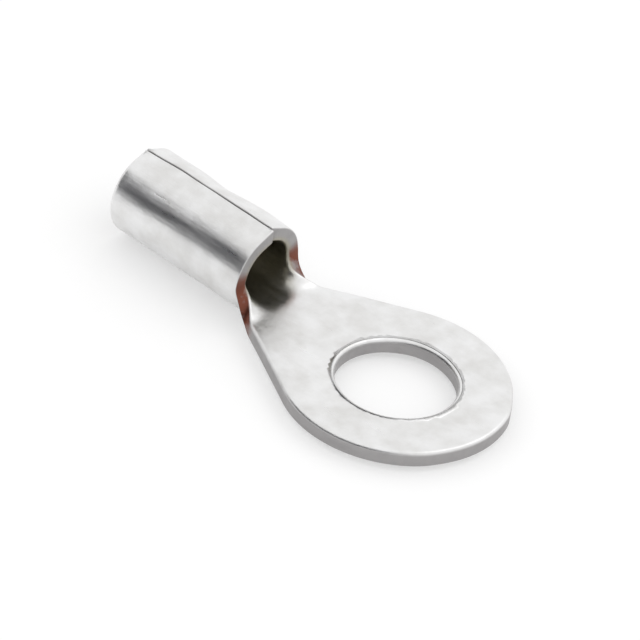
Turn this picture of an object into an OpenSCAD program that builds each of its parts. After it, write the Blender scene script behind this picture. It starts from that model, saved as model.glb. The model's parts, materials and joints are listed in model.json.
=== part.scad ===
// Ring terminal with an open crimp barrel, punched and rolled from one strip of copper.
// The origin is the middle of the stud hole on the tongue's underside. +Z is up, and the
// barrel lies toward -X with its seam on top.

/* [Sheet] */
// Thickness of the copper strip
sheet_t = 0.7; // [0.4:0.05:1]
// Radius that the punch rolls onto the top edges of the tongue
edge_roll = 0.16; // [0.04:0.02:0.24]

/* [Ring] */
// Diameter of the stud hole, for an M5 or number 10 stud
hole_d = 5.3; // [3.2:0.1:6.5]
// Outside diameter of the ring
ring_d = 10.1; // [8.6:0.1:12]
// Angle of each straight flank of the tongue to the centre line
flank_angle = 28.5; // [20:0.5:36]

/* [Neck] */
// From the middle of the stud hole to the front of the barrel
barrel_front = 7.75; // [6.8:0.05:9]
// Radius in the corner of the blank, between the barrel's front edge and the flank
neck_fillet = 0.65; // [0.3:0.05:1]
// Length beyond that corner over which the sheet finishes flattening
trough_run = 0.4; // [0.1:0.05:1.5]

/* [Barrel] */
// Bore that takes the stranded wire
bore_d = 2.7; // [1.8:0.1:4]
// Length of the rolled barrel
barrel_len = 7.7; // [4:0.1:10]
// How far the barrel's underside hangs below the tongue's underside
barrel_drop = 0.3; // [0:0.05:0.5]
// Angle each side of the seam over which the sheet stays straight and makes a low ridge
seam_flat = 24; // [6:1:32]
// Gap between the two butted edges of the seam
seam_gap = 0.04; // [0.02:0.01:0.1]
// Width of the worn groove along the outside of the seam
groove_w = 0.26; // [0.14:0.02:0.4]
// Depth of that groove
groove_h = 0.14; // [0.06:0.02:0.24]
// Radius of the barrel's outer rim at the wire end
rim_round = 0.28; // [0.06:0.02:0.32]

/* [Hidden] */
$fn = 96;

ring_r = ring_d / 2;
hole_r = hole_d / 2;
bore_r = bore_d / 2;
barrel_r = bore_r + sheet_t;
barrel_z = barrel_r - barrel_drop;

// Overshoot of cutters past the faces that they open
over = 1;
// How far the neck's solid runs on into the barrel and the tongue, and stays under their skins
root = 0.3;
skin = 0.02;

// The sheet's middle layer keeps its length as it is rolled
rolled_r = barrel_r - sheet_t / 2;
fillet_x = neck_fillet - barrel_front;
fillet_w = (ring_r + neck_fillet + fillet_x * sin(flank_angle)) / cos(flank_angle);
flank_x = fillet_x + neck_fillet * sin(flank_angle);
flat_x = flank_x + trough_run;
tongue_x = flat_x + root / 3;
tongue_w = flank_w(tongue_x);
tangent_x = -ring_r * sin(flank_angle);
tangent_w = ring_r * cos(flank_angle);

// Steps along the neck: round the fillet, then along the flank
fillet_steps = 8;
trough_steps = 5;
// Steps across half the sheet
sheet_steps = 10;

// Half the blank's width where the straight flank runs
function flank_w(x) = (ring_r + x * sin(flank_angle)) / cos(flank_angle);

// Stations of the blank as [place along X, half width], from the barrel to the tongue
function neck_blank() = [
    [-barrel_front - root, fillet_w - neck_fillet * sin((90 + flank_angle) / fillet_steps)],
    for (i = [1 : fillet_steps])
        let (turn = i * (90 + flank_angle) / fillet_steps)
            [fillet_x - neck_fillet * cos(turn), fillet_w - neck_fillet * sin(turn)],
    for (i = [1 : trough_steps])
        let (x = flank_x + trough_run * i / trough_steps)
            [x, flank_w(x)],
    [tongue_x + root, flank_w(tongue_x + root)]
];

// Share of the flattening that is done at x: 0 at the barrel's front, 1 on the flat tongue
function flattened(x) =
    let (u = min(max((x + barrel_front) / (flat_x + barrel_front), 0), 1))
        u * u * (3 - 2 * u);

// A point of the sheet: s is the distance from its middle line, h the height over its middle layer
function sheet_point(x, s, h) =
    let (
        left = 1 - flattened(x),
        turn = s * left / rolled_r * 180 / PI,
        y = left < 0.001 ? s : rolled_r / left * sin(turn),
        rise = left < 0.001 ? 0 : rolled_r / left * (1 - cos(turn)),
        middle_z = sheet_t / 2 - barrel_drop * left
    )
        [x, y - h * sin(turn), middle_z + rise + h * cos(turn)];

// One closed section of the neck, with its inner corners broken as the punch leaves them
function neck_section(x, w) =
    let (
        h = sheet_t / 2 - skin,
        edge = w - skin,
        inner = edge - edge_roll
    )
        [
            for (i = [-sheet_steps : sheet_steps]) sheet_point(x, inner * i / sheet_steps, h),
            sheet_point(x, edge, h - edge_roll),
            for (i = [sheet_steps : -1 : -sheet_steps]) sheet_point(x, edge * i / sheet_steps, -h),
            sheet_point(x, -edge, h - edge_roll)
        ];

// Faces that close the first section: a strip across the sheet and a corner at each edge
function end_faces() =
    let (
        top = 2 * sheet_steps,
        under = 4 * sheet_steps + 2
    )
        concat(
            [for (i = [0 : top - 1]) [under - i, under - i - 1, i + 1, i]],
            [[top + 2, top + 1, top], [under, 0, under + 1]]
        );

// Corner of a square edge, less the quarter round that is left standing
module edge_corner(r) {
    difference() {
        translate([-r, -r])
            square([r + over, r + over]);
        translate([-r, -r])
            circle(r);
    }
}

// Flat eye with its hole, between the neck and the tip
module tongue() {
    difference() {
        linear_extrude(sheet_t)
            union() {
                circle(ring_r);
                polygon([
                    [tongue_x, -tongue_w],
                    [tangent_x, -tangent_w],
                    [tangent_x, tangent_w],
                    [tongue_x, tongue_w]
                ]);
            }
        translate([0, 0, -over])
            cylinder(h = sheet_t + 2 * over, r = hole_r);
        rolled_edges();
    }
}

// Cutters for the top edges of the hole, the ring and the two flanks
module rolled_edges() {
    translate([0, 0, sheet_t])
        rotate_extrude()
            translate([hole_r, 0])
                mirror([1, 0])
                    edge_corner(edge_roll);
    translate([0, 0, sheet_t])
        rotate([0, 0, -90 - flank_angle])
            rotate_extrude(angle = 180 + 2 * flank_angle)
                translate([ring_r, 0])
                    edge_corner(edge_roll);
    for (side = [0, 1])
        mirror([0, side, 0])
            translate([tangent_x, tangent_w, sheet_t])
                rotate([90, 0, 90 + flank_angle])
                    translate([0, 0, -barrel_front])
                        linear_extrude(barrel_front)
                            edge_corner(edge_roll);
}

// Neck where the rolled sheet opens out and lies flat
module neck() {
    blank = neck_blank();
    sections = [for (b = blank) neck_section(b[0], b[1])];
    around = len(sections[0]);
    last = len(sections) - 1;
    polyhedron(
        points = [for (section = sections) for (p = section) p],
        faces = concat(
            [for (face = end_faces()) face],
            [
                for (i = [0 : last - 1]) for (j = [0 : around - 1])
                    let (k = (j + 1) % around)
                        [i * around + j, i * around + k, (i + 1) * around + k, (i + 1) * around + j]
            ],
            [for (face = end_faces()) [for (j = [len(face) - 1 : -1 : 0]) last * around + face[j]]]
        )
    );
}

// Round outline whose top runs straight up to the seam
module seam_outline(r) {
    circle(r);
    polygon([
        [0, 0],
        [r * sin(seam_flat), r * cos(seam_flat)],
        [0, r / cos(seam_flat)],
        [-r * sin(seam_flat), r * cos(seam_flat)]
    ]);
}

// Rolled crimp barrel with its butted seam
module barrel() {
    translate([-barrel_front - barrel_len, 0, barrel_z])
        rotate([90, 0, 90])
            difference() {
                linear_extrude(barrel_len)
                    seam_outline(barrel_r);
                translate([0, 0, -over])
                    cylinder(h = barrel_len + 2 * over, r = bore_r);
                translate([0, 0, -over])
                    linear_extrude(barrel_len + 2 * over)
                        seam_opening();
                rear_rim();
            }
}

// Inside of the ridge, the hairline gap and the groove over it
module seam_opening() {
    ridge_z = barrel_r / cos(seam_flat);
    polygon([
        [0, 0],
        [bore_r * sin(seam_flat), bore_r * cos(seam_flat)],
        [0, bore_r / cos(seam_flat)],
        [-bore_r * sin(seam_flat), bore_r * cos(seam_flat)]
    ]);
    translate([-seam_gap / 2, 0])
        square([seam_gap, ridge_z]);
    polygon([
        [0, ridge_z - groove_h],
        [groove_w / 2, ridge_z + over],
        [-groove_w / 2, ridge_z + over]
    ]);
}

// Cutters that round the outer rim at the wire end: round the tube, then up both slopes of the ridge
module rear_rim() {
    mirror([0, 0, 1])
        rotate([0, 0, 90 + seam_flat])
            rotate_extrude(angle = 360 - 2 * seam_flat)
                translate([barrel_r, 0])
                    edge_corner(rim_round);
    for (side = [0, 1])
        mirror([side, 0, 0])
            ridge_rim();
}

// Cutter for the rim along one slope of the ridge, which stops inside the seam's gap
module ridge_rim() {
    intersection() {
        rotate([0, 0, -seam_flat])
            translate([0, barrel_r, 0])
                rotate([-90, 0, 90])
                    linear_extrude(barrel_r * tan(seam_flat) + groove_w)
                        edge_corner(rim_round);
        translate([seam_gap / 4, 0, -over])
            cube([barrel_r, 2 * barrel_r, 2 * over]);
    }
}

module ring_terminal() {
    color("silver") {
        tongue();
        neck();
        barrel();
    }
}

ring_terminal();
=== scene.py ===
"""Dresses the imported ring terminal: its rolled sheet, its tin plate, and a plain white studio."""

import json
import logging
import math
from dataclasses import dataclass, field
from enum import Enum
from typing import Any

import bpy
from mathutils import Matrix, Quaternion, Vector, noise
from mathutils.geometry import delaunay_2d_cdt


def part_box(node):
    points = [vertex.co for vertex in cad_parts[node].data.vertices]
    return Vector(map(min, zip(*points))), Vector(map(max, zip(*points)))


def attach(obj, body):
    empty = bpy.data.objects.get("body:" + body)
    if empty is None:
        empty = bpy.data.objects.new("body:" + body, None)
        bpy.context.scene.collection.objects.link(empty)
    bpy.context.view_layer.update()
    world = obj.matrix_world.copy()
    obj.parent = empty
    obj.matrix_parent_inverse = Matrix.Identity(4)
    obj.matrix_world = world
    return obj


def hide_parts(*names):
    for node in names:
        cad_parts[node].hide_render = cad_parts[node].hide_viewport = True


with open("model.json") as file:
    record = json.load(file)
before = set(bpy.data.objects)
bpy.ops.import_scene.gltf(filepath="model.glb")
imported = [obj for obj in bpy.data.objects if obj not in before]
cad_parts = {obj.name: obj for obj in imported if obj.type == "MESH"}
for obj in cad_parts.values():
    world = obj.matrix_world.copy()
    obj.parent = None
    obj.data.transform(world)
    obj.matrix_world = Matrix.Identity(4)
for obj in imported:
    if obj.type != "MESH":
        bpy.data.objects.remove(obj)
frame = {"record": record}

LOG = logging.getLogger("ring_terminal")
MM = 0.001
NODE = "ring_terminal"

# One section of the cut edge: (inset, height over the sheet's middle layer) in mm, top first.
Section = list[tuple[float, float]]


def linear(sheet_hex: str) -> tuple[float, float, float, float]:
    """Turns an sRGB colour into the linear values that a shader takes.

    Args:
        sheet_hex: The colour as "#RRGGBB".

    Returns:
        Linear red, green, blue and an alpha of 1.
    """
    levels = [int(sheet_hex[i : i + 2], 16) / 255 for i in (1, 3, 5)]
    values = [v / 12.92 if v <= 0.04045 else ((v + 0.055) / 1.055) ** 2.4 for v in levels]
    return (values[0], values[1], values[2], 1.0)


def smooth(value: float, low: float, high: float) -> float:
    """Rises smoothly from 0 at low to 1 at high."""
    share = min(max((value - low) / (high - low), 0.0), 1.0)
    return share * share * (3 - 2 * share)


def hump(value: float, middle: float, width: float) -> float:
    """A soft bump of height 1 at middle that has faded out two widths away."""
    return math.exp(-(((value - middle) / width) ** 2))


def mirrored(place: Vector) -> Vector:
    """The same place on the other side of the blank's middle line."""
    return Vector((place.x, -place.y))


def within(at: Vector, loop: list[Vector]) -> bool:
    """Tells whether a place lies inside a closed loop on the flat blank.

    Args:
        at: The place.
        loop: The loop's corners in order.

    Returns:
        True where a line from the place along X crosses the loop an odd number of times.
    """
    inside = False
    for a, b in zip(loop, loop[1:] + loop[:1]):
        if (a.y > at.y) != (b.y > at.y):
            crossing = a.x + (b.x - a.x) * (at.y - a.y) / (b.y - a.y)
            if at.x < crossing:
                inside = not inside
    return inside


def add_node(
    tree: bpy.types.NodeTree,
    kind: str,
    inputs: dict[str | int, Any] | None = None,
    **settings: Any,
) -> bpy.types.Node:
    """Adds one shader node.

    Args:
        tree: The node tree that takes it.
        kind: The node's Blender type.
        inputs: For its inputs by name or number, the socket to join or the value to set.
        settings: Its properties.

    Returns:
        The new node.
    """
    made = tree.nodes.new(kind)
    for name, value in settings.items():
        setattr(made, name, value)
    for name, source in (inputs or {}).items():
        if isinstance(source, bpy.types.NodeSocket):
            tree.links.new(source, made.inputs[name])
        else:
            made.inputs[name].default_value = source
    return made


def blank_material(name: str) -> bpy.types.Material:
    """Adds a material with an empty node tree.

    Args:
        name: The material's name.

    Returns:
        The new material.
    """
    material = bpy.data.materials.new(name)
    material.use_nodes = True
    material.node_tree.nodes.clear()
    return material


def add_piece(
    name: str,
    mesh: bpy.types.Mesh,
    spots: list[Vector],
    faces: list[list[int]],
    material: bpy.types.Material,
) -> bpy.types.Object:
    """Adds a mesh piece to the scene.

    Args:
        name: The piece's name.
        mesh: The empty mesh that it takes.
        spots: Its points, in metres.
        faces: Its faces, as point numbers.
        material: Its finish.

    Returns:
        The new object.
    """
    mesh.from_pydata([tuple(spot) for spot in spots], [], faces)
    mesh.materials.append(material)
    made = bpy.data.objects.new(name, mesh)
    bpy.context.scene.collection.objects.link(made)
    return made


class Side(Enum):
    """The two halves of the terminal, either side of the seam."""

    NEAR = -1
    FAR = 1


class Edge(Enum):
    """The stretches of the blank's cut edge, each with (top, under) corner radii in mm."""

    REAR = (0.06, 0.28)
    SEAM = (0.04, 0.13)
    FRONT = (0.15, 0.07)
    FILLET = (0.15, 0.05)
    TONGUE = (0.17, 0.04)
    HOLE = (0.19, 0.04)


@dataclass(frozen=True)
class TerminalSizes:
    """The terminal's sizes, lengths in millimetres and angles in radians.

    Args:
        sheet: Thickness of the sheet.
        hole_r: Radius of the stud hole.
        ring_r: Radius of the ring.
        barrel_r: Outer radius of the barrel.
        barrel_z: Height of the barrel's axis over the tongue's underside.
        front: Place of the barrel's front edge along X.
        rear: Place of its rear edge.
        flank_angle: Angle of the flanks to X.
        neck_fillet: Radius between the barrel's front edge and the flank.
        trough_run: Length past the fillet over which the sheet still flattens.
        seam_flat: Angle round the barrel, either side of the seam, that stays straight.
        seam_gap: Gap between the two edges at the seam.
        ring_over: How far the ring stands past the solid's.
    """

    sheet: float
    hole_r: float
    ring_r: float
    barrel_r: float
    barrel_z: float
    front: float
    rear: float
    flank_angle: float = math.radians(28.5)
    neck_fillet: float = 0.65
    trough_run: float = 0.4
    seam_flat: float = math.radians(24)
    seam_gap: float = 0.035
    ring_over: float = 0.05

    @classmethod
    def from_frame(cls, record: dict[str, Any]) -> "TerminalSizes":
        """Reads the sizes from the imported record's mounts and the node's box.

        Args:
            record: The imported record.

        Returns:
            The sizes.
        """
        mounts = {m["name"]: m for m in record["mounts"]}
        low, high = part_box(NODE)
        sheet = mounts["nut_face"]["pos_m"][2] / MM
        barrel = mounts["wire_barrel"]
        return cls(
            sheet=sheet,
            hole_r=mounts["stud_hole"]["dims"]["r_mm"],
            ring_r=high.x / MM + cls.ring_over,
            barrel_r=barrel["dims"]["r_mm"] + sheet,
            barrel_z=barrel["pos_m"][2] / MM,
            front=low.x / MM + barrel["dims"]["length_mm"],
            rear=low.x / MM,
        )

    @property
    def rolled_r(self) -> float:
        """Radius of the sheet's middle layer round the barrel."""
        return self.barrel_r - self.sheet / 2

    @property
    def drop(self) -> float:
        """How far the barrel hangs below the tongue."""
        return self.barrel_r - self.barrel_z

    @property
    def half_girth(self) -> float:
        """Length of the middle layer from the barrel's underside to the seam."""
        return self.rolled_r * (math.pi - self.seam_flat + math.tan(self.seam_flat))

    @property
    def fillet_middle(self) -> tuple[float, float]:
        """Middle of the fillet between the barrel's front edge and the flank.

        Returns:
            Its place along X, and its distance from the middle line.
        """
        x = self.front + self.neck_fillet
        reach = self.ring_r + self.neck_fillet + x * math.sin(self.flank_angle)
        return x, reach / math.cos(self.flank_angle)

    @property
    def fillet_end_x(self) -> float:
        """Where the fillet runs into the flank."""
        return self.fillet_middle[0] + self.neck_fillet * math.sin(self.flank_angle)

    @property
    def flat_x(self) -> float:
        """Where the rolled sheet has flattened out."""
        return self.fillet_end_x + self.trough_run


@dataclass(frozen=True)
class EdgePoint:
    """One place on the blank's cut edge.

    Args:
        at: Place on the flat blank, along X and across from the middle line.
        inward: Way that the edge moves as it is inset by 1 mm.
        edge: The stretch that it belongs to.
        round_off: Step back from a corner that fades over corner_r of inset.
        corner_r: Radius of the corner, in mm.
    """

    at: Vector
    inward: Vector
    edge: Edge
    round_off: Vector = field(default_factory=lambda: Vector((0, 0)))
    corner_r: float = 0.07

    def inset(self, depth: float) -> Vector:
        """The point moved into the sheet by a depth in mm."""
        left = max(1 - depth / self.corner_r, 0)
        return self.at + self.inward * depth + self.round_off * left

    def mirrored(self) -> "EdgePoint":
        """The same point on the blank's other half."""
        flipped = (mirrored(self.at), mirrored(self.inward), self.edge, mirrored(self.round_off))
        return EdgePoint(*flipped, self.corner_r)


@dataclass(frozen=True)
class Blank:
    """The flat strip as punched, before it is rolled.

    Args:
        sizes: The terminal's sizes.
        edge_step: Distance between points of the cut edge, in mm.
        margin: Stretch beside a square corner that holds no other point, in mm.
        corner_r: Radius of the square corners, in mm.
        arc_middle: How far an arc's middle lies from its square corner, as a share of the radius.
        fillet_steps: Steps round the fillet.
        hole_steps: Steps round the stud hole.
        row_step: Distance along X between the rows of surface points, in mm.
        place_step: Distance between the points of a row, in mm.
    """

    sizes: TerminalSizes
    edge_step: float = 0.16
    margin: float = 0.45
    corner_r: float = 0.07
    arc_middle: float = 0.29
    fillet_steps: int = 14
    hole_steps: int = 120
    row_step: float = 0.2
    place_step: float = 0.15

    @property
    def girth(self) -> float:
        """Distance of the seam's edge from the middle line."""
        return self.sizes.half_girth - self.sizes.seam_gap / 2

    def _corner(self, at: Vector, inward: Vector, edges: tuple[Edge, Edge]) -> list[EdgePoint]:
        """Rounds a square corner slightly, walked from one edge to the next.

        Args:
            at: The corner.
            inward: Sum of both edges' inward directions.
            edges: The stretches before and after it.

        Returns:
            Three points of the edge.
        """
        along_x = Vector((inward.x * self.corner_r, 0))
        along_s = Vector((0, inward.y * self.corner_r))
        across_first = edges[0] in (Edge.REAR, Edge.FRONT)
        first, last = (along_s, along_x) if across_first else (along_x, along_s)
        middle = inward * self.corner_r * self.arc_middle
        return [
            EdgePoint(at, inward, edges[0], first, self.corner_r),
            EdgePoint(at, inward, edges[1], middle, self.corner_r),
            EdgePoint(at, inward, edges[1], last, self.corner_r),
        ]

    def _straight(self, a: Vector, b: Vector, inward: Vector, edge: Edge) -> list[EdgePoint]:
        """Spaces points evenly between two corners, clear of both.

        Args:
            a: The first corner.
            b: The last corner.
            inward: The edge's inward direction.
            edge: The stretch that it belongs to.

        Returns:
            The edge's points in order.
        """
        length = (b - a).length
        run = length - 2 * self.margin
        count = max(int(run / self.edge_step), 1)
        places = [self.margin + run * i / count for i in range(count + 1)]
        return [EdgePoint(a.lerp(b, p / length), inward, edge) for p in places]

    def _barrel_edge(self) -> list[EdgePoint]:
        """Walks the rear edge from its middle, and the seam's edge, to the front corner.

        Returns:
            The edge's points in order.
        """
        z = self.sizes
        rear, front = Vector((z.rear, self.girth)), Vector((z.front, self.girth))
        across = self._straight(mirrored(rear), rear, Vector((1, 0)), Edge.REAR)
        points = [p for p in across if p.at.y > 0.001]
        points += self._corner(rear, Vector((1, -1)), (Edge.REAR, Edge.SEAM))
        points += self._straight(rear, front, Vector((0, -1)), Edge.SEAM)
        points += self._corner(front, Vector((-1, -1)), (Edge.SEAM, Edge.FRONT))
        return points

    def _neck_edge(self) -> list[EdgePoint]:
        """Walks the barrel's front edge and the fillet.

        Returns:
            The edge's points in order.
        """
        z = self.sizes
        fillet_x, fillet_s = z.fillet_middle
        run = self.girth - self.margin - fillet_s
        steps = max(int(run / self.edge_step), 1)
        starts = [self.girth - self.margin - run * i / steps for i in range(steps)]
        points = [EdgePoint(Vector((z.front, s)), Vector((-1, 0)), Edge.FRONT) for s in starts]
        for i in range(self.fillet_steps + 1):
            turn = (math.pi / 2 + z.flank_angle) * i / self.fillet_steps
            way = Vector((-math.cos(turn), -math.sin(turn)))
            at = Vector((fillet_x, fillet_s)) + way * z.neck_fillet
            points.append(EdgePoint(at, way, Edge.FILLET))
        return points

    def _tongue_edge(self, start: Vector) -> list[EdgePoint]:
        """Walks the flank and the ring to the tip.

        Args:
            start: Where the fillet ends.

        Returns:
            The edge's points in order.
        """
        r, angle = self.sizes.ring_r, self.sizes.flank_angle
        end = Vector((-r * math.sin(angle), r * math.cos(angle)))
        side = Vector((math.sin(angle), -math.cos(angle)))
        count = int((end - start).length / self.edge_step)
        points = [EdgePoint(start.lerp(end, i / count), side, Edge.TONGUE) for i in range(1, count)]
        count = int(r * (math.pi / 2 + angle) / self.edge_step)
        for i in range(count + 1):
            turn = (math.pi / 2 + angle) * (1 - i / count)
            way = Vector((math.cos(turn), math.sin(turn)))
            points.append(EdgePoint(way * r, -way, Edge.TONGUE))
        return points

    def outline(self) -> list[EdgePoint]:
        """Walks the whole outer edge.

        Returns:
            The edge's points, as a closed loop.
        """
        far = self._barrel_edge() + self._neck_edge()
        far += self._tongue_edge(far[-1].at)
        return far + [p.mirrored() for p in reversed(far) if p.at.y > 0.001]

    def hole(self) -> list[EdgePoint]:
        """Walks the stud hole's edge.

        Returns:
            The edge's points, as a closed loop.
        """
        turns = [2 * math.pi * i / self.hole_steps for i in range(self.hole_steps)]
        ways = [Vector((math.cos(t), math.sin(t))) for t in turns]
        return [EdgePoint(w * self.sizes.hole_r, w, Edge.HOLE) for w in ways]

    def half_width(self, x: float) -> float:
        """Half the blank's width, without the cut edges' rounding.

        Args:
            x: Place along the blank.

        Returns:
            Distance from the middle line to the edge, in mm.
        """
        z = self.sizes
        if x < z.front:
            return z.half_girth
        if x < z.fillet_end_x:
            fillet_x, fillet_s = z.fillet_middle
            return fillet_s - math.sqrt(max(z.neck_fillet**2 - (x - fillet_x) ** 2, 0))
        if x < -z.ring_r * math.sin(z.flank_angle):
            return (z.ring_r + x * math.sin(z.flank_angle)) / math.cos(z.flank_angle)
        return math.sqrt(max(z.ring_r**2 - x * x, 0))

    def grid(self, clear: float) -> list[Vector]:
        """Places inside the blank that carry the sheet's surface.

        Args:
            clear: Distance to keep from every cut edge, in mm.

        Returns:
            Places in rows along X.
        """
        z = self.sizes
        places = []
        rows = int((z.ring_r - z.rear) / self.row_step)
        for i in range(1, rows):
            x = z.rear + (z.ring_r - z.rear) * i / rows
            if x < z.rear + clear or z.front - clear < x < z.front:
                continue
            count = int((self.half_width(x) - clear) / self.place_step)
            row = [Vector((x, j * self.place_step)) for j in range(-count, count + 1)]
            places += [place for place in row if place.length > z.hole_r + clear]
        return places


@dataclass(frozen=True)
class Dent:
    """A soft dent or swelling that runs round part of the barrel.

    Args:
        along: Distance of its middle from the barrel's rear, in mm.
        width: Its width along the barrel, in mm.
        height: How far the wall stands out, negative for a dent, in mm.
    """

    along: float
    width: float
    height: float

    def offset(self, along: float) -> float:
        """How far the wall stands out at a distance from the rear."""
        return self.height * hump(along, self.along, self.width)


@dataclass(frozen=True)
class RolledSheet:
    """Carries the flat blank into space: rolled, crimped and handled.

    Args:
        sizes: The terminal's sizes.
        near_skew: How far the near half of the neck sits forward, in mm.
        far_skew: How far the far half sits forward, negative for back, in mm.
        dents: The marks of handling on the barrel's near upper side.
        dents_turn: Middle of the dents round the barrel from its underside, in radians.
        dents_spread: Their width round the barrel, in radians.
        wave: Height of the waves all over the barrel's wall, in mm.
        wave_rate: How fast they change, along the barrel per mm and round it per radius.
        settled: How far the seam's edges sank at the rear, in mm.
        settled_spread: Width of that round the barrel, in radians.
        settled_run: Its length along the barrel, in mm.
        true_from: Distance behind the barrel's front edge at which the wall turns true, in mm.
        skew_across: Distances from the middle line at which the skew begins and is full, in mm.
        skew_run: Length of the barrel, behind its front edge, that the skew pulls along, in mm.
    """

    sizes: TerminalSizes
    near_skew: float = 0.05
    far_skew: float = -0.13
    dents: tuple[Dent, ...] = (Dent(2.0, 0.9, 0.03), Dent(3.65, 0.8, -0.07), Dent(6.1, 1.1, 0.055))
    dents_turn: float = 2.4
    dents_spread: float = 0.55
    wave: float = 0.03
    wave_rate: tuple[float, float] = (0.55, 1.1)
    settled: float = 0.1
    settled_spread: float = 0.3
    settled_run: float = 2.6
    true_from: float = 0.6
    skew_across: tuple[float, float] = (1.9, 3.2)
    skew_run: float = 1.6

    def _swell(self, x: float, turn: float) -> float:
        """How far the barrel's wall stands out of true.

        Args:
            x: Place along the barrel.
            turn: Angle round the barrel from its underside, positive on the far side.

        Returns:
            Radial offset in mm.
        """
        along = x - self.sizes.rear
        rate, round_rate = self.wave_rate
        spot = Vector((x * rate, math.sin(turn) * round_rate, math.cos(turn) * round_rate))
        handled = hump(turn, self.dents_turn, self.dents_spread)
        dented = sum(dent.offset(along) for dent in self.dents) * handled
        at_seam = hump(abs(turn), math.pi, self.settled_spread)
        sunk = self.settled * at_seam * (1 - smooth(along, 0.0, self.settled_run))
        return self.wave * noise.noise(spot) + dented - sunk

    def _rolled(self, turn: float, r: float) -> tuple[float, float]:
        """A point of the barrel's section, round below and straight near the seam.

        Args:
            turn: Length along the middle layer from the underside, over its radius.
            r: Radius of the layer that the point is on.

        Returns:
            Distance from the middle plane, and height.
        """
        z = self.sizes
        straight_from = math.pi - z.seam_flat
        if turn <= straight_from:
            return r * math.sin(turn), z.barrel_z - r * math.cos(turn)
        run = turn - straight_from
        y = r * (math.sin(z.seam_flat) - run * math.cos(z.seam_flat))
        return y, z.barrel_z + r * (math.cos(z.seam_flat) + run * math.sin(z.seam_flat))

    def _opened(self, across: float, left: float, height: float) -> tuple[float, float]:
        """A point of the neck's section, which opens out until it lies flat.

        Args:
            across: Length along the middle layer from the middle plane, in mm.
            left: Share of the barrel's curvature that is left.
            height: Height over the middle layer, in mm.

        Returns:
            Distance from the middle plane, and height.
        """
        z = self.sizes
        middle = z.sheet / 2 - z.drop * left
        if left < 1e-4:
            return across, middle + height
        r = z.rolled_r / left
        bend = across / r
        return (r - height) * math.sin(bend), middle + r - (r - height) * math.cos(bend)

    def place(self, at: Vector, height: float) -> Vector:
        """Where a point of the blank ends up.

        Args:
            at: Place on the flat blank.
            height: Height over the sheet's middle layer; up is inside the barrel.

        Returns:
            Place in the row frame, in mm.
        """
        z = self.sizes
        x, across = at.x, abs(at.y)
        side, skew = (Side.FAR, self.far_skew) if at.y > 0 else (Side.NEAR, self.near_skew)
        turn = across / z.rolled_r
        crimped = smooth(-x, -z.flat_x, -z.front + self.true_from)
        swell = self._swell(x, turn * side.value) * crimped
        if x <= z.front:
            y, up = self._rolled(turn, z.rolled_r - height + swell)
        else:
            left = 1 - smooth(x, z.front, z.flat_x)
            y, up = self._opened(across, left, height - swell)
        reach = smooth(across, *self.skew_across) * smooth(x, z.front - self.skew_run, z.front)
        return Vector((x + skew * reach, y * side.value, up))


@dataclass(frozen=True)
class Span:
    """A stretch of a pattern's values, and what they are turned into.

    Args:
        low: Where the stretch begins.
        high: Where it ends.
        least: Value at low and below.
        most: Value at high and above.
    """

    low: float
    high: float
    least: float
    most: float

    def inputs(self) -> dict[str, float]:
        """The span as the inputs of a range node."""
        names = ("From Min", "From Max", "To Min", "To Max")
        return dict(zip(names, (self.low, self.high, self.least, self.most)))


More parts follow.
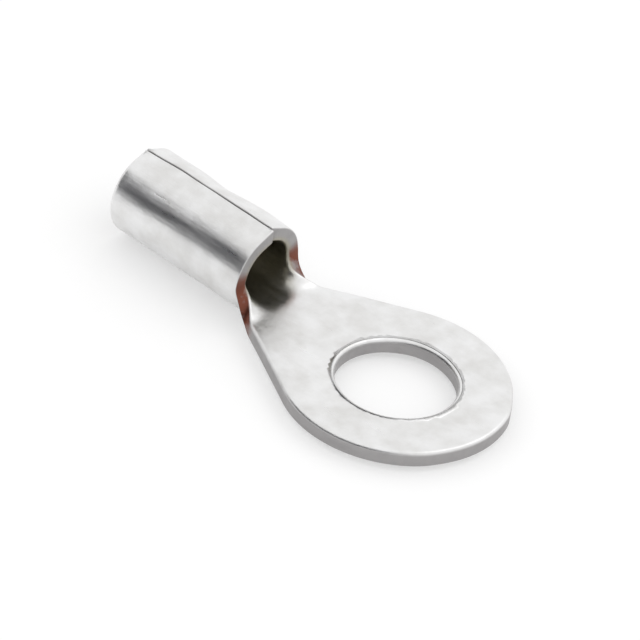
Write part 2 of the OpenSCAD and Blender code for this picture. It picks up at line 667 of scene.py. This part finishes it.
@dataclass(frozen=True)
class TinPlate:
    """Satin electroplated tin over copper, as it leaves barrel plating.

    It gives the eye a pale, nearly white metal with a fine matte grain, rubbed a little
    brighter along the barrel. Its grey cut edge is partly painted shade, and inside the
    barrel it is darkened with painted shade. Copper shows through at the stretched corners of the cut
    edge.

    Args:
        tin: Fresh plate.
        worn_tin: Plate rubbed in clouds.
        sheared_and_shaded_tin: The thin plate on the cut edge, greyed further with painted shade.
        bore_shade_tin: Painted shade on the plate inside the barrel.
        copper: Bare copper at the stretched corners.
        worn_span: From the clouds to the share of worn plate.
        bare_span: From the clouds to the share of bare copper where the plate is stretched.
        streak_span: From the rub marks to the plate's roughness.
        sheared_roughness: What the cut edge adds to the roughness.
        grain_mm: Grain of the plate. Real grain is a tenth of this, too fine to show.
        cloud_mm: Size of the rubbed clouds.
        rub_long_mm: Length of the rub marks along the barrel.
        rub_wide_mm: Width of the rub marks.
        relief_mm: Depth of grain and rub marks together.
        grain_share: Depth of the grain beside the rub marks.
    """

    tin: str = "#EEEEEE"
    worn_tin: str = "#DAD9D7"
    # The next colour's grey is partly painted shade, laid over the cut edge's thin plate.
    sheared_and_shaded_tin: str = "#A5A3A3"
    # The next colour is painted shade on the inner wall of the barrel.
    bore_shade_tin: str = "#ACA899"
    copper: str = "#7C4C3E"
    worn_span: Span = Span(0.35, 0.7, 0.0, 0.8)
    bare_span: Span = Span(0.38, 0.52, 0.25, 1.0)
    streak_span: Span = Span(0.3, 0.7, 0.27, 0.43)
    sheared_roughness: float = 0.08
    grain_mm: float = 0.2
    cloud_mm: float = 1.1
    rub_long_mm: float = 2.857
    rub_wide_mm: float = 0.3125
    relief_mm: float = 0.012
    grain_share: float = 0.6

    def _colour(
        self, tree: bpy.types.NodeTree, cloud: bpy.types.NodeSocket, cut: bpy.types.NodeSocket
    ) -> bpy.types.NodeSocket:
        """Lays the plate's tones over each other, painted shade among them.

        Args:
            tree: The material's tree.
            cloud: The cloud pattern.
            cut: The mask of the cut edge.

        Returns:
            The colour.
        """
        bore = add_node(tree, "ShaderNodeAttribute", attribute_name="bore_shade_mask").outputs["Fac"]
        thin = add_node(tree, "ShaderNodeAttribute", attribute_name="thin_plate").outputs["Fac"]
        worn, bare = (
            add_node(tree, "ShaderNodeMapRange", {"Value": cloud, **span.inputs()}).outputs["Result"]
            for span in (self.worn_span, self.bare_span)
        )
        for mask in (thin, cut):
            both = {0: bare, 1: mask}
            bare = add_node(tree, "ShaderNodeMath", both, operation="MULTIPLY").outputs["Value"]
        layers = (
            (worn, self.worn_tin),
            # partly painted shade: the cut edge's grey
            (cut, self.sheared_and_shaded_tin),
            # painted shade inside the barrel
            (bore, self.bore_shade_tin),
            (bare, self.copper),
        )
        colour: Any = linear(self.tin)
        for share, tone in layers:
            mix = {0: share, 6: colour, 7: linear(tone)}
            colour = add_node(tree, "ShaderNodeMix", mix, data_type="RGBA").outputs[2]
        return colour

    def _roughness(
        self, tree: bpy.types.NodeTree, rub: bpy.types.NodeSocket, cut: bpy.types.NodeSocket
    ) -> bpy.types.NodeSocket:
        """Streaks the plate's roughness along the barrel.

        Args:
            tree: The material's tree.
            rub: The pattern of rub marks.
            cut: The mask of the cut edge.

        Returns:
            The roughness.
        """
        span = {"Value": rub, **self.streak_span.inputs()}
        streaked = add_node(tree, "ShaderNodeMapRange", span).outputs["Result"]
        terms = {0: cut, 1: self.sheared_roughness, 2: streaked}
        return add_node(tree, "ShaderNodeMath", terms, operation="MULTIPLY_ADD").outputs["Value"]

    def _relief(
        self, tree: bpy.types.NodeTree, grain: bpy.types.NodeSocket, rub: bpy.types.NodeSocket
    ) -> bpy.types.NodeSocket:
        """Raises the grain and the rub marks.

        Args:
            tree: The material's tree.
            grain: The pattern of the grain.
            rub: The pattern of rub marks.

        Returns:
            The surface normal.
        """
        terms = {0: grain, 1: self.grain_share, 2: rub}
        height = add_node(tree, "ShaderNodeMath", terms, operation="MULTIPLY_ADD").outputs["Value"]
        depth = {"Height": height, "Strength": 1.0, "Distance": self.relief_mm * MM}
        return add_node(tree, "ShaderNodeBump", depth).outputs["Normal"]

    def build(self) -> bpy.types.Material:
        """Builds the material.

        Returns:
            A material with grain, rub marks, painted shade inside the barrel and on the cut edge, and
            bare copper.
        """
        material = blank_material("satin_tin_plate")
        tree = material.node_tree
        place = add_node(tree, "ShaderNodeTexCoord").outputs["Object"]
        to_mm = {0: place, "Scale": 1 / MM}
        in_mm = add_node(tree, "ShaderNodeVectorMath", to_mm, operation="SCALE").outputs["Vector"]
        across = 1 / self.rub_wide_mm
        stretch = {"Vector": in_mm, "Scale": (1 / self.rub_long_mm, across, across)}
        streaks = add_node(tree, "ShaderNodeMapping", stretch).outputs["Vector"]
        patterns = {
            "cloud": {"Vector": in_mm, "Scale": 1 / self.cloud_mm, "Detail": 4.0, "Roughness": 0.55},
            "rub": {"Vector": streaks, "Scale": 1.0, "Detail": 5.0, "Roughness": 0.6},
            "grain": {"Vector": in_mm, "Scale": 1 / self.grain_mm, "Detail": 3.0, "Roughness": 0.6},
        }
        cloud, rub, grain = (
            add_node(tree, "ShaderNodeTexNoise", pattern).outputs["Fac"] for pattern in patterns.values()
        )
        cut = add_node(tree, "ShaderNodeAttribute", attribute_name="cut_edge").outputs["Fac"]
        metal = add_node(
            tree,
            "ShaderNodeBsdfPrincipled",
            {
                "Base Color": self._colour(tree, cloud, cut),
                "Roughness": self._roughness(tree, rub, cut),
                "Normal": self._relief(tree, grain, rub),
                "Metallic": 1.0,
            },
        )
        add_node(tree, "ShaderNodeOutputMaterial", {"Surface": metal.outputs["BSDF"]})
        return material


@dataclass(frozen=True)
class MattePaper:
    """Uncoated white paper, rolled smooth, under the terminal.

    It gives the eye an even pale ground with no gloss. It glows a little, but only where
    it is seen directly or in a reflection, so that it reads white and keeps the shadow.

    Args:
        colour: The paper.
        lift: Strength of its glow.
    """

    colour: str = "#CFCFCF"
    lift: float = 0.38

    def build(self) -> bpy.types.Material:
        """Builds the material.

        Returns:
            The paper.
        """
        material = blank_material("matte_paper")
        tree = material.node_tree
        paper = add_node(tree, "ShaderNodeBsdfDiffuse", {"Color": linear(self.colour)})
        ray = add_node(tree, "ShaderNodeLightPath").outputs
        seen = ray["Is Camera Ray"]
        for kind in ("Is Glossy Ray", "Is Transmission Ray"):
            either = {0: seen, 1: ray[kind]}
            seen = add_node(tree, "ShaderNodeMath", either, operation="MAXIMUM").outputs["Value"]
        lift = add_node(tree, "ShaderNodeMath", {0: seen, 1: self.lift}, operation="MULTIPLY")
        glow = add_node(tree, "ShaderNodeEmission", {"Strength": lift.outputs["Value"]})
        layers = {0: paper.outputs["BSDF"], 1: glow.outputs["Emission"]}
        both = add_node(tree, "ShaderNodeAddShader", layers)
        add_node(tree, "ShaderNodeOutputMaterial", {"Surface": both.outputs["Shader"]})
        return material


@dataclass(frozen=True)
class BlackFelt:
    """Dark wool felt, pressed, on the card beside the camera.

    It gives the eye the soft dark streak that the barrel mirrors.

    Args:
        colour: The felt.
    """

    colour: str = "#48484C"

    def build(self) -> bpy.types.Material:
        """Builds the material.

        Returns:
            The felt.
        """
        material = blank_material("black_felt")
        tree = material.node_tree
        felt = add_node(tree, "ShaderNodeBsdfDiffuse", {"Color": linear(self.colour)})
        add_node(tree, "ShaderNodeOutputMaterial", {"Surface": felt.outputs["BSDF"]})
        return material


@dataclass
class Surface:
    """Gathers the rolled sheet's mesh.

    Args:
        sheet: Where the blank's points end up.
        spots: The points, in mm.
        flat: Each point's place on the flat blank.
        cut: How far each point has the look of the cut edge, from 0 to 1.
        faces: The faces, as point numbers.
    """

    sheet: RolledSheet
    spots: list[Vector] = field(default_factory=list)
    flat: list[Vector] = field(default_factory=list)
    cut: list[float] = field(default_factory=list)
    faces: list[list[int]] = field(default_factory=list)

    def add(self, at: Vector, height: float, cut: float = 0.0) -> int:
        """Adds one point of the sheet.

        Args:
            at: Place on the flat blank.
            height: Height over the sheet's middle layer, in mm.
            cut: How far it has the look of the cut edge.

        Returns:
            The point's number.
        """
        self.spots.append(self.sheet.place(at, height))
        self.flat.append(at)
        self.cut.append(cut)
        return len(self.spots) - 1


@dataclass(frozen=True)
class Terminal:
    """The terminal itself: one punched and rolled sheet.

    Args:
        sizes: Its sizes.
        finish: Its plate.
        corner_steps: Steps round each corner of the cut edge's section.
        wall_steps: Steps down its straight wall.
        ease_rounds: Rounds of easing where one stretch of edge meets the next.
        top_clear: Distance of the upper face's inner points from the cut edges, in mm.
        under_clear: The same for the lower face.
        plated_rows: Rows of the section, from the top and from below, that keep the plate's look.
        shade_depth: Depth inside the wall at which the inner dullness is full, in mm.
        shade_behind: Distance behind the barrel's front edge at which it is full, in mm.
        thin_width: Width of the stretched plate round the fillet, in mm.
    """

    sizes: TerminalSizes
    finish: TinPlate
    corner_steps: int = 5
    wall_steps: int = 3
    ease_rounds: int = 3
    top_clear: float = 0.3
    under_clear: float = 0.42
    plated_rows: tuple[float, float] = (2.5, 1.5)
    # shade_depth: Depth inside the wall at which the painted shade of the bore is full, in mm.
    shade_depth: float = 0.25
    # shade_behind: Distance behind the barrel's front edge at which it is full, in mm.
    shade_behind: float = 0.4
    thin_width: float = 0.18

    def _section(self, edge: Edge) -> Section:
        """Draws the cut edge's section.

        Args:
            edge: The stretch of edge.

        Returns:
            Its points from the upper face to the lower.
        """
        top, under = edge.value
        half = self.sizes.sheet / 2
        turns = [math.pi / 2 * i / self.corner_steps for i in range(self.corner_steps + 1)]
        upper = [(top * (1 - math.sin(a)), half - top * (1 - math.cos(a))) for a in turns]
        lower = [(under * (1 - math.cos(a)), -half + under * (1 - math.sin(a))) for a in turns]
        start, end = upper[-1][1], lower[0][1]
        heights = [start + (end - start) * i / self.wall_steps for i in range(1, self.wall_steps)]
        return upper + [(0.0, height) for height in heights] + lower

    def _sections(self, loop: list[EdgePoint]) -> list[Section]:
        """Draws every point's section, eased where one stretch of edge meets the next.

        Args:
            loop: The edge's points.

        Returns:
            A section for each point.
        """
        sections = [self._section(point.edge) for point in loop]
        for _ in range(self.ease_rounds):
            neighbours = zip(sections[-1:] + sections[:-1], sections, sections[1:] + sections[:1])
            sections = [
                [
                    tuple((a + 2 * b + c) / 4 for a, b, c in zip(before, here, after))
                    for before, here, after in zip(*three)
                ]
                for three in neighbours
            ]
        return sections

    def _rim(self, surface: Surface, loop: list[EdgePoint], turn: int) -> list[list[int]]:
        """Builds the cut edge round one loop.

        Args:
            surface: The mesh that takes it.
            loop: The edge's points.
            turn: 1 for the outer edge, -1 for a hole.

        Returns:
            Point numbers, in one row for each height from the upper face to the lower.
        """
        sections = self._sections(loop)
        last = len(sections[0]) - 1
        top, under = self.plated_rows
        rows = []
        for k in range(last + 1):
            cut = smooth(k, top, self.corner_steps) * smooth(last - k, under, self.corner_steps)
            row = []
            for point, section in zip(loop, sections):
                depth, height = section[k]
                row.append(surface.add(point.inset(depth), height, cut))
            rows.append(row)
        for upper, lower in zip(rows, rows[1:]):
            for i in range(len(loop)):
                j = (i + 1) % len(loop)
                surface.faces.append([upper[i], upper[j], lower[j], lower[i]][::turn])
        return rows

    def _skin(
        self, surface: Surface, blank: Blank, loops: list[list[int]], height: float, clear: float
    ) -> None:
        """Fills one face of the sheet between the outer edge and the stud hole.

        Args:
            surface: The mesh that takes it.
            blank: The flat blank.
            loops: Point numbers of the outer edge and of the hole's edge.
            height: Height over the middle layer, above 0 for the upper face, in mm.
            clear: Distance of the inner points from the cut edges, in mm.
        """
        outer, inner = ([surface.flat[i] for i in loop] for loop in loops)
        places = outer + inner + blank.grid(clear)
        count = len(outer)
        edges = [(i, (i + 1) % count) for i in range(count)]
        edges += [(count + i, count + (i + 1) % len(inner)) for i in range(len(inner))]
        made, _, faces, source, _, _ = delaunay_2d_cdt(places, edges, [], 0, 1e-7)
        index = loops[0] + loops[1]
        index += [surface.add(at, height) for at in places[len(index) :]]
        for face in faces:
            middle = sum((made[i] for i in face), Vector((0, 0))) / len(face)
            if within(middle, outer) and not within(middle, inner):
                corners = [index[source[i][0]] for i in face]
                surface.faces.append(corners if height > 0 else corners[::-1])

    def _masks(self, surface: Surface) -> dict[str, list[float]]:
        """Works out where the finish changes, and where painted shade darkens the bore.

        Args:
            surface: The finished mesh.

        Returns:
            For each mask, a value for each point.
        """
        z = self.sizes
        fillet_x, fillet_s = z.fillet_middle
        bore_shade_mask, thin_plate = [], []
        for spot, at in zip(surface.spots, surface.flat):
            radius = math.hypot(spot.y, spot.z - z.barrel_z)
            # Painted shade inside the barrel: full deep in the wall and behind the front edge.
            behind = smooth(-at.x, -z.flat_x, -z.front + self.shade_behind)
            bore_shade_mask.append(smooth(-radius, -z.rolled_r, -z.rolled_r + self.shade_depth) * behind)
            away = math.hypot(at.x - fillet_x, abs(at.y) - fillet_s)
            thin_plate.append(hump(away, z.neck_fillet, self.thin_width))
        return {"cut_edge": surface.cut, "bore_shade_mask": bore_shade_mask, "thin_plate": thin_plate}

    def build(self) -> bpy.types.Object:
        """Builds the dressed terminal.

        Returns:
            The terminal's object, in metres in the row frame.
        """
        blank = Blank(self.sizes)
        surface = Surface(RolledSheet(self.sizes))
        outer = self._rim(surface, blank.outline(), 1)
        inner = self._rim(surface, blank.hole(), -1)
        half = self.sizes.sheet / 2
        self._skin(surface, blank, [outer[0], inner[0]], half, self.top_clear)
        self._skin(surface, blank, [outer[-1], inner[-1]], -half, self.under_clear)
        mesh = bpy.data.meshes.new("rolled_sheet")
        spots = [spot * MM for spot in surface.spots]
        made = add_piece("rolled_terminal", mesh, spots, surface.faces, self.finish.build())
        for name, values in self._masks(surface).items():
            mesh.attributes.new(name, "FLOAT", "POINT").data.foreach_set("value", values)
        mesh.validate()
        mesh.shade_smooth()
        return made


@dataclass(frozen=True)
class Studio:
    """A white sweep lit by a soft overhead light, with a long-lens camera.

    Args:
        low: The object's lowest corner.
        high: Its highest corner.
        floor_half: Half the floor's side, in metres.
        card_away: Distance of the dark card from the object, in metres.
        card_top: Height of the card, in metres.
        card_turns: First and last angle and step of the card round the object, in degrees.
        lamp_away: Distance of the lamp, in metres.
        lamp_size: Width of the lamp, in metres.
        lamp_watts: Power of the lamp.
        lamp_way: Direction of the lamp from the object.
        azimuth: The camera's angle round the object, in degrees.
        elevation: Its angle over the floor, in degrees.
        roll: Its roll, in degrees.
        away: Its distance, in metres.
        sensor: Width of its sensor, in mm.
        lens: Its focal length, in mm.
        near_clip: Distance at which it begins to see, in metres.
        aim: Where it aims on the floor, from the object's middle, in mm.
    """

    low: Vector
    high: Vector
    floor_half: float = 1.5
    card_away: float = 0.25
    card_top: float = 0.19
    card_turns: tuple[int, int, int] = (200, 314, 6)
    lamp_away: float = 0.45
    lamp_size: float = 0.3
    lamp_watts: float = 0.12
    lamp_way: tuple[float, float, float] = (0.25, 0.5, 0.83)
    azimuth: float = 37.36
    elevation: float = 36.21
    roll: float = 9.2
    away: float = 0.212
    sensor: float = 36.0
    lens: float = 276.4
    near_clip: float = 0.01
    aim: tuple[float, float] = (-0.20, 1.13)

    @property
    def middle(self) -> Vector:
        """The middle of the object."""
        return (self.low + self.high) / 2

    def world(self) -> None:
        """Sets a plain white surround."""
        world = bpy.data.worlds.new("white_surround")
        bpy.context.scene.world = world
        world.use_nodes = True
        tree = world.node_tree
        tree.nodes.clear()
        white = {"Color": linear("#FFFFFF"), "Strength": 1.0}
        back = add_node(tree, "ShaderNodeBackground", white)
        add_node(tree, "ShaderNodeOutputWorld", {"Surface": back.outputs["Background"]})

    def floor(self) -> bpy.types.Object:
        """Builds the pale floor.

        Returns:
            The floor.
        """
        half, z = self.floor_half, self.low.z
        corners = ((-half, -half), (half, -half), (half, half), (-half, half))
        spots = [Vector((x, y, z)) for x, y in corners]
        mesh = bpy.data.meshes.new("floor")
        made = add_piece("floor", mesh, spots, [[0, 1, 2, 3]], MattePaper().build())
        return made

    def flag(self) -> bpy.types.Object:
        """Stands a dark card beside the camera, whose reflection draws the barrel's dark streak.

        Returns:
            The card.
        """
        first, last, step = self.card_turns
        turns = [math.radians(a) for a in range(first, last + 1, step)]
        foot = Vector((self.middle.x, self.middle.y, self.low.z))
        spots = [
            foot + Vector((self.card_away * math.cos(t), self.card_away * math.sin(t), height))
            for t in turns
            for height in (0.0, self.card_top)
        ]
        faces = [[2 * i, 2 * i + 2, 2 * i + 3, 2 * i + 1] for i in range(len(turns) - 1)]
        mesh = bpy.data.meshes.new("dark_card")
        made = add_piece("dark_card", mesh, spots, faces, BlackFelt().build())
        made.visible_camera = False
        made.visible_shadow = False
        made.visible_diffuse = False
        return made

    def key_lamp(self) -> bpy.types.Object:
        """Hangs one soft key light over the back of the object.

        Returns:
            The lamp.
        """
        data = bpy.data.lights.new("soft_key", "AREA")
        data.shape = "DISK"
        data.size = self.lamp_size
        data.energy = self.lamp_watts
        lamp = bpy.data.objects.new("soft_key", data)
        way = Vector(self.lamp_way).normalized()
        lamp.location = self.middle + way * self.lamp_away
        lamp.rotation_euler = way.to_track_quat("Z", "Y").to_euler()
        bpy.context.scene.collection.objects.link(lamp)
        return lamp

    def camera(self) -> bpy.types.Object:
        """Sets the camera.

        Returns:
            The camera.
        """
        azimuth, elevation = math.radians(self.azimuth), math.radians(self.elevation)
        level = math.cos(elevation)
        back = Vector((math.sin(azimuth) * level, -math.cos(azimuth) * level, math.sin(elevation)))
        data = bpy.data.cameras.new("camera")
        data.sensor_width = self.sensor
        data.lens = self.lens
        data.clip_start = self.near_clip
        made = bpy.data.objects.new("camera", data)
        target = Vector((self.middle.x, self.middle.y, 0)) + Vector((*self.aim, 0)) * MM
        made.location = target + back * self.away
        level_turn = (-back).to_track_quat("-Z", "Y")
        made.rotation_mode = "QUATERNION"
        made.rotation_quaternion = level_turn @ Quaternion((0, 0, 1), math.radians(self.roll))
        bpy.context.scene.collection.objects.link(made)
        bpy.context.scene.camera = made
        return made


def main() -> None:
    """Builds the terminal and its studio, and reports each piece."""
    logging.basicConfig(level=logging.INFO, format="%(name)s: %(message)s")
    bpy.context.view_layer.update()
    record = frame["record"]
    terminal = Terminal(TerminalSizes.from_frame(record), TinPlate()).build()
    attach(terminal, "root")
    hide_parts(NODE)
    LOG.info("%s: %d faces", terminal.name, len(terminal.data.polygons))

    studio = Studio(*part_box(NODE))
    studio.world()
    for made in (studio.floor(), studio.flag(), studio.key_lamp(), studio.camera()):
        LOG.info("%s at %.1f mm", made.name, made.location.length / MM)
    bpy.context.scene.view_settings.view_transform = "Standard"


if __name__ == "__main__":
    main()
